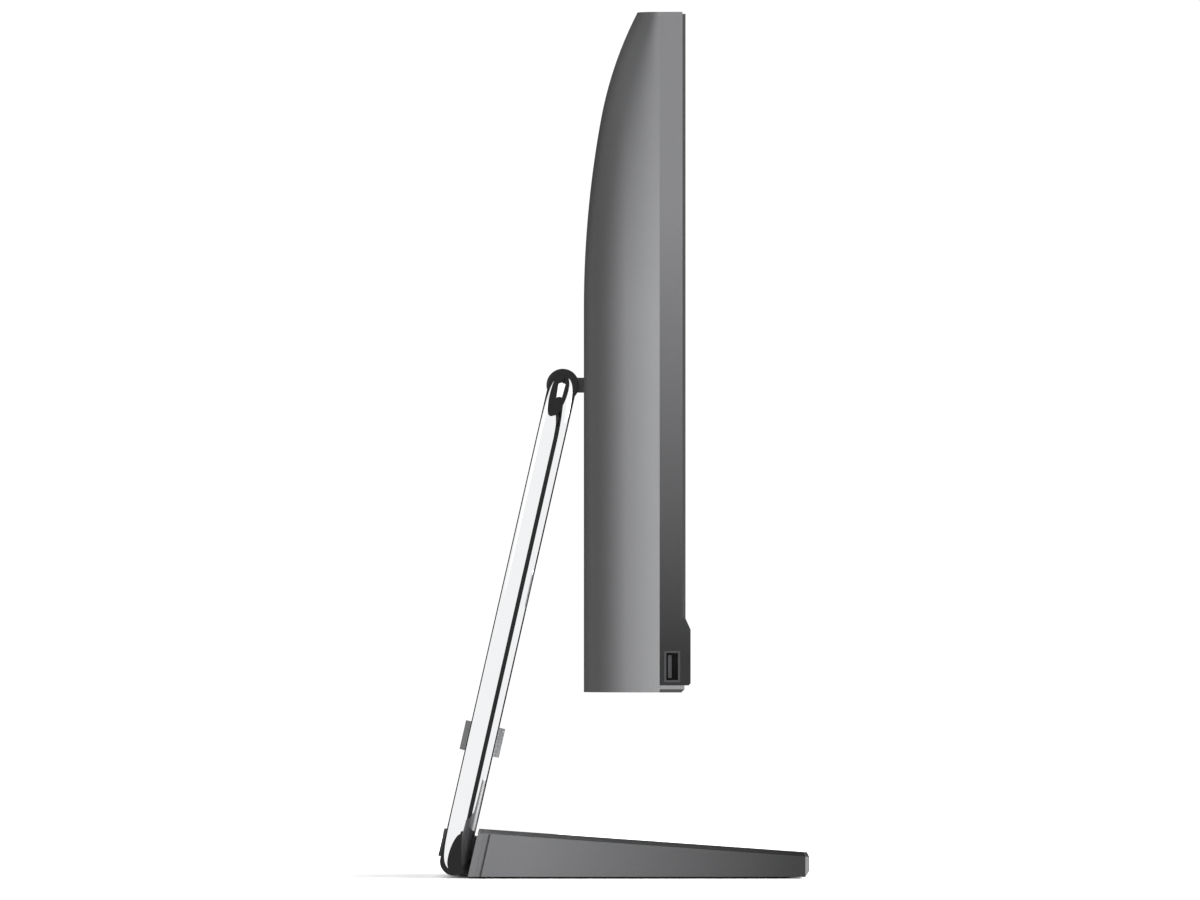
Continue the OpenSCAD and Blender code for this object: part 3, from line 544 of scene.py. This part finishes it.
SCREW_GAP = 0.25 * MM
HOLE_PITCH = 3.6 * MM
HOLE_R = 1.15 * MM
SHEET_SHARE = 0.7
LINER_ABOVE_FOOT = 0.2 * MM
LINER_BEHIND = 0.3 * MM
PLATE_GAP = 0.1 * MM
PLATE_GAP_BACK = 0.3 * MM


def back_at(z):
    """Depth of the cover's back at a height: straight, then a slow arc, then a quick one."""
    bend = math.asin(CURVE_RISE / R_SLOW)
    slow_y, slow_z = BACK - R_SLOW, CURVE_START
    if z <= slow_z:
        return BACK
    if z <= slow_z + CURVE_RISE:
        return slow_y + math.sqrt(R_SLOW ** 2 - (z - slow_z) ** 2)
    quick_y = slow_y + (R_SLOW - R_QUICK) * math.cos(bend)
    quick_z = slow_z + (R_SLOW - R_QUICK) * math.sin(bend)
    return quick_y + math.sqrt(R_QUICK ** 2 - (z - quick_z) ** 2)


def pillow_section():
    """Half-width positions and the share of the full depth at each, from side to side."""
    flat = HALF_W - SIDE_R
    side = []
    for i in range(CORNER_STEPS + 1):
        t = math.pi / 2 * (1 - i / CORNER_STEPS)
        side.append((flat + SIDE_R * math.sin(t), math.cos(t)))
    left = [(-x, share) for x, share in side]
    middle = [(flat * (2 * i / MIDDLE_STEPS - 1), 1.0) for i in range(1, MIDDLE_STEPS)]
    return left + middle + side[::-1]


def cover_skin():
    """The pillow-shaped shell: deepest in the middle, its sides rounded, its top falling off."""
    section = pillow_section()
    columns = len(section)
    heights = [FOOT + (TOP - FOOT) * i / HEIGHT_STEPS for i in range(HEIGHT_STEPS + 1)]
    verts, faces = [], []
    for z in heights:
        depth = back_at(z) - SEAM
        verts += [(x, SEAM + depth * share, z) for x, share in section]
    for row in range(HEIGHT_STEPS):
        for col in range(columns - 1):
            a = row * columns + col
            faces.append((a, a + 1, a + 1 + columns, a + columns))
    for row in (0, HEIGHT_STEPS):
        start = len(verts)
        verts += [(x, SEAM, heights[row]) for x, share in section]
        for col in range(columns - 1):
            a = row * columns + col
            b = start + col
            faces.append((a, a + 1, b + 1, b))
    skin = new_mesh("rear_cover_shell", verts, faces, "cover_plastic", "display")
    bm = bmesh.new()
    bm.from_mesh(skin.data)
    bmesh.ops.dissolve_degenerate(bm, edges=bm.edges, dist=1e-6)
    bmesh.ops.recalc_face_normals(bm, faces=bm.faces)
    if sum(f.normal.y * f.calc_area() for f in bm.faces) < 0:
        bmesh.ops.reverse_faces(bm, faces=bm.faces)
    bm.to_mesh(skin.data)
    bm.free()
    shell = skin.modifiers.new("wall", "SOLIDIFY")
    shell.thickness = WALL
    shell.offset = -1
    shell.use_even_offset = True
    apply_modifiers(skin)
    cut(skin, cover_openings(), screw_holes())
    soften(skin, 0.7 * MM, segments=3, angle=40)
    smooth(skin, 35)
    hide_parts("rear_cover")


def cover_openings():
    """Boxes cut through the cover: connector bay, arm slot, outlets and inlets."""
    bay = ((BAY_LO.x - BAY_SIDE, BAY_LO.y - BAY_FRONT, BELOW_FOOT),
           (BAY_HI.x + BAY_SIDE, PAST_BACK, BAY_LO.z))
    arm = ((ARM_LO.x - ARM_GAP, 0, ARM_MIDDLE - ARM_SLOT),
           (ARM_HI.x + ARM_GAP, PAST_BACK, ARM_MIDDLE + ARM_SLOT))
    boxes = [bay, arm]
    for i in range(SLOTS_IN_VENT):
        x = FINS_LO.x + OUTLET_START + i * OUTLET_PITCH
        boxes.append(((x, 0, FINS_LO.z), (x + OUTLET_SLOT, PAST_BACK, FINS_LO.z + OUTLET_H)))
    for side in (-1, 1):
        for i in range(SLOTS_IN_VENT):
            x = side * INLET_X + INLET_START + i * INLET_PITCH
            boxes.append(((x, 0, INLET_LOW), (x + INLET_SLOT, PAST_BACK, INLET_HIGH)))
    return boxes


def screw_holes():
    """Round holes over the four cover screws."""
    lo, hi = corners("cover_screws")
    radius = SCREW_R + SCREW_GAP
    across = (lo.x + SCREW_R, hi.x - SCREW_R)
    up = (lo.z + SCREW_R, hi.z - SCREW_R)
    return [(x, z, radius, 0, PAST_BACK) for x in across for z in up]


def grille_sheet():
    """The speaker grille as a thin sheet with a round hole in every cell of a grid."""
    lo, hi = corners("speaker_grille")
    across = round((hi.x - lo.x) / HOLE_PITCH)
    up = round((hi.z - lo.z) / HOLE_PITCH)
    step_x, step_z = (hi.x - lo.x) / across, (hi.z - lo.z) / up
    rim = [(-1, -1), (0, -1), (1, -1), (1, 0), (1, 1), (0, 1), (-1, 1), (-1, 0)]
    depths = (lo.y, lo.y + SHEET_SHARE * (hi.y - lo.y))
    verts, faces = [], []
    for col in range(across):
        for row in range(up):
            mid_x, mid_z = lo.x + (col + 0.5) * step_x, lo.z + (row + 0.5) * step_z
            base = len(verts)
            for y in depths:
                verts += [(mid_x + u * step_x / 2, y, mid_z + v * step_z / 2) for u, v in rim]
                for u, v in rim:
                    reach = HOLE_R / math.hypot(u, v)
                    verts.append((mid_x + u * reach, y, mid_z + v * reach))
            for i in range(8):
                j = (i + 1) % 8
                faces.append((base + i, base + j, base + 8 + j, base + 8 + i))
                faces.append((base + 16 + i, base + 24 + i, base + 24 + j, base + 16 + j))
                faces.append((base + 8 + i, base + 8 + j, base + 24 + j, base + 24 + i))
            edges = []
            if row == 0:
                edges += [(0, 1), (1, 2)]
            if col == across - 1:
                edges += [(2, 3), (3, 4)]
            if row == up - 1:
                edges += [(4, 5), (5, 6)]
            if col == 0:
                edges += [(6, 7), (7, 0)]
            faces += [(base + a, base + 16 + a, base + 16 + b, base + b) for a, b in edges]
    sheet = new_mesh("speaker_grille_sheet", verts, faces, "grille", "display")
    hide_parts("speaker_grille")


def vent_screens():
    """Thin dark dust screens just inside the cover's outlet and inlets."""
    outlet_x = FINS_LO.x + OUTLET_START
    outlet_w = (SLOTS_IN_VENT + 1) * OUTLET_PITCH
    spans = [(outlet_x - SCREEN_MARGIN, outlet_x + outlet_w,
              FINS_LO.z - SCREEN_MARGIN, FINS_LO.z + OUTLET_H + SCREEN_MARGIN)]
    for side in (-1, 1):
        inlet_x = side * INLET_X + INLET_START
        inlet_w = (SLOTS_IN_VENT - 1) * INLET_PITCH + INLET_SLOT
        spans.append((inlet_x - SCREEN_MARGIN, inlet_x + inlet_w + SCREEN_MARGIN,
                      INLET_LOW - SCREEN_MARGIN, INLET_HIGH + SCREEN_MARGIN))
    boxes = []
    for x0, x1, z0, z1 in spans:
        y = back_at(z1) - WALL - SCREEN_GAP
        boxes.append(((x0, y - SCREEN_THICK, z0), (x1, y, z1)))
    screens = new_mesh("vent_screens", *boxes_mesh(boxes), "grille", "display")
    soften(screens, 0.1 * MM)


def bay_liner():
    """The walls of the connector bay inside the cover."""
    lo = Vector((BAY_LO.x - BAY_SIDE, BAY_LO.y - BAY_FRONT, FOOT + LINER_ABOVE_FOOT))
    hi = Vector((BAY_HI.x + BAY_SIDE, BACK - LINER_BEHIND, BAY_LO.z))
    slot_x0, slot_x1 = BAY_LO.x - PLATE_GAP, BAY_HI.x + PLATE_GAP
    slot_y0, slot_y1 = BAY_LO.y - PLATE_GAP, BAY_HI.y + PLATE_GAP_BACK
    roof = hi.z + WALL
    boxes = [
        ((lo.x - WALL, lo.y - WALL, lo.z), (lo.x, hi.y, hi.z)),
        ((hi.x, lo.y - WALL, lo.z), (hi.x + WALL, hi.y, hi.z)),
        ((lo.x, lo.y - WALL, lo.z), (hi.x, lo.y, hi.z)),
        ((lo.x - WALL, slot_y1, hi.z), (hi.x + WALL, hi.y, roof)),
        ((lo.x - WALL, lo.y - WALL, hi.z), (hi.x + WALL, slot_y0, roof)),
        ((lo.x - WALL, slot_y0, hi.z), (slot_x0, slot_y1, roof)),
        ((slot_x1, slot_y0, hi.z), (hi.x + WALL, slot_y1, roof)),
    ]
    liner = new_mesh("connector_bay_liner", *boxes_mesh(boxes), "cover_plastic", "display")
    soften(liner, 0.3 * MM)


# ---------------------------------------------------------------- CAD nodes that stay

BEVELS = {
    "mid_frame": 0.8, "chin_housing": 0.6, "bottom_trim": 0.3, "bottom_strip": 0.3,
    "front_glass": 0.35, "base_shell": 0.6, "nose_trim": 0.4, "rear_cradle": 0.6,
    "clamp_plate": 0.6, "cable_clip": 0.8, "hinge_arm": 0.7, "hinge_collars": 0.5,
    "stop_rings": 0.4, "camera_housing": 0.3, "power_button": 0.5, "rubber_feet": 0.25,
    "side_usb_shell": 0.25, "side_usb_tongue": 0.2, "io_plate": 0.2, "rear_usb_sockets": 0.25,
    "network_socket": 0.3, "hdmi_socket": 0.25, "audio_jack": 0.3, "power_inlet": 0.3,
    "hinge_bracket": 0.4, "fin_stack": 0.15, "blower_housing": 0.4, "blower_rotor": 0.15,
    "cold_plate": 0.3, "hard_drive": 0.5, "drive_caddy": 0.3, "memory_modules": 0.1,
    "storage_card": 0.1, "wireless_card": 0.1, "base_weight": 0.5, "base_plate": 0.3,
    "speaker_left": 0.5, "speaker_right": 0.5,
}
# Sockets that stay visible to mirrors, because their inner faces reflect one another
PORTS = ("side_usb_shell", "side_usb_tongue", "rear_usb_sockets", "network_socket", "hdmi_socket")


def hide_from_mirrors():
    """Keeps the display out of the chrome, which in the studio shows only flags and paper."""
    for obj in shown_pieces():
        if "display" in body_of(obj) and obj.name not in PORTS:
            obj.visible_glossy = False


def dress_nodes():
    """Materials and rounded edges for every node that the frame carries over."""
    for name, obj in NODES.items():
        dress(obj, SLOTS[name])
        if name in BEVELS:
            soften(obj, BEVELS[name] * MM)
        smooth(obj, 30)


# ---------------------------------------------------------------- stage, light and camera

def emitter(name, place, target, size, power, mirrored=True):
    """A soft square light aimed at a point, which polished faces show only if it is mirrored."""
    data = bpy.data.lights.new(name, "AREA")
    data.shape = "RECTANGLE"
    data.size = size
    data.size_y = size
    data.energy = power
    obj = bpy.data.objects.new(name, data)
    bpy.context.scene.collection.objects.link(obj)
    obj.location = place
    obj.visible_glossy = mirrored
    obj.rotation_euler = (Vector(target) - Vector(place)).to_track_quat("-Z", "Y").to_euler()


def make_stage():
    """A pale floor, a pale sky and soft studio lights."""
    reach = 2.2
    verts = [(-reach, -reach, 0), (reach, -reach, 0), (reach, reach, 0), (-reach, reach, 0)]
    mesh = bpy.data.meshes.new("floor")
    mesh.from_pydata(verts, [], [(0, 1, 2, 3)])
    floor = bpy.data.objects.new("floor", mesh)
    bpy.context.scene.collection.objects.link(floor)
    floor.visible_glossy = False
    paint = Shader("floor_paint", (0.93, 0.93, 0.93), 0.8)
    paint.vary(paint.noise(2, 2), 0.01)
    floor.data.materials.append(paint.mat)
    floor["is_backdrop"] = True

    make_sky()
    middle = (0, 0, 0.22)
    emitter("key_left", (-1.8, -1.5, 0.5), middle, 0.8, 200, mirrored=False)
    emitter("front", (0.9, -2.2, 0.9), middle, 1.4, 34)
    emitter("right", (2.2, 0.2, 0.8), middle, 1.4, 22, mirrored=False)
    emitter("back", (0.5, 2.4, 1.3), middle, 1.2, 4)
    emitter("top", (0, -0.3, 2.4), middle, 1.4, 8)


SKY_LEVEL = 1.0
FLAG_LEVEL = 0.03
FLAG_TURN = math.radians(221)
FLAG_WIDTH = 0.31
RIGHT_CAP = math.radians(46)
ROOF_CAP = math.radians(52)


def make_sky():
    """An even pale sky, with a dark flag and dark caps that only polished faces show."""
    world = bpy.data.worlds.new("studio")
    world.use_nodes = True
    tree = world.node_tree
    sky = tree.nodes["Background"]
    sky.inputs["Color"].default_value = (1, 1, 1, 1)
    coords = tree.nodes.new("ShaderNodeTexCoord")

    def toward(x, y, z):
        node = tree.nodes.new("ShaderNodeVectorMath")
        node.operation = "DOT_PRODUCT"
        node.inputs[1].default_value = (x, y, z)
        tree.links.new(coords.outputs["Generated"], node.inputs[0])
        return node.outputs["Value"]

    def calc(operation, *terms):
        node = tree.nodes.new("ShaderNodeMath")
        node.operation = operation
        for i, term in enumerate(terms):
            if isinstance(term, (int, float)):
                node.inputs[i].default_value = term
            else:
                tree.links.new(term, node.inputs[i])
        return node.outputs[0]

    off_axis = calc("ABSOLUTE", toward(math.sin(FLAG_TURN), -math.cos(FLAG_TURN), 0))
    behind = calc("LESS_THAN", toward(math.cos(FLAG_TURN), math.sin(FLAG_TURN), 0), 0)
    past_flag = calc("MAXIMUM", calc("GREATER_THAN", off_axis, FLAG_WIDTH), behind)
    past_right = calc("LESS_THAN", toward(1, 0, 0), math.cos(RIGHT_CAP))
    past_roof = calc("LESS_THAN", calc("ABSOLUTE", toward(0, 0, 1)), math.cos(ROOF_CAP))
    open_sky = calc("MINIMUM", past_flag, calc("MINIMUM", past_right, past_roof))
    rays = tree.nodes.new("ShaderNodeLightPath")
    shown = calc("MAXIMUM", open_sky, calc("SUBTRACT", 1, rays.outputs["Is Glossy Ray"]))
    tree.links.new(calc("MULTIPLY_ADD", shown, SKY_LEVEL, FLAG_LEVEL), sky.inputs["Strength"])
    bpy.context.scene.world = world


VIEW_WIDTH = 0.5934
VIEW_MIDDLE = Vector((0, 0.0117, 0.2131))
VIEW_DISTANCE = 20.0
SENSOR = 36.0
NEAR_SHARE = 0.8


def set_colour():
    """Plain colour management, so pale stays pale and the greys keep their values."""
    bpy.context.scene.view_settings.view_transform = "Standard"
    bpy.context.scene.view_settings.look = "None"


def make_camera():
    """Square on the object's left side, from far away with a long lens."""
    data = bpy.data.cameras.new("camera")
    near = VIEW_DISTANCE - NEAR_SHARE * HALF_W
    data.sensor_width = SENSOR
    data.lens = SENSOR * near / VIEW_WIDTH
    data.clip_start = 0.05
    data.clip_end = 200
    camera = bpy.data.objects.new("camera", data)
    bpy.context.scene.collection.objects.link(camera)
    camera.location = VIEW_MIDDLE + Vector((-VIEW_DISTANCE, 0, 0))
    camera.rotation_euler = (math.pi / 2, 0, -math.pi / 2)
    bpy.context.scene.camera = camera


set_colour()
make_camera()
make_stage()
dress_nodes()
cover_skin()
grille_sheet()
vent_screens()
bay_liner()
hide_from_mirrors()
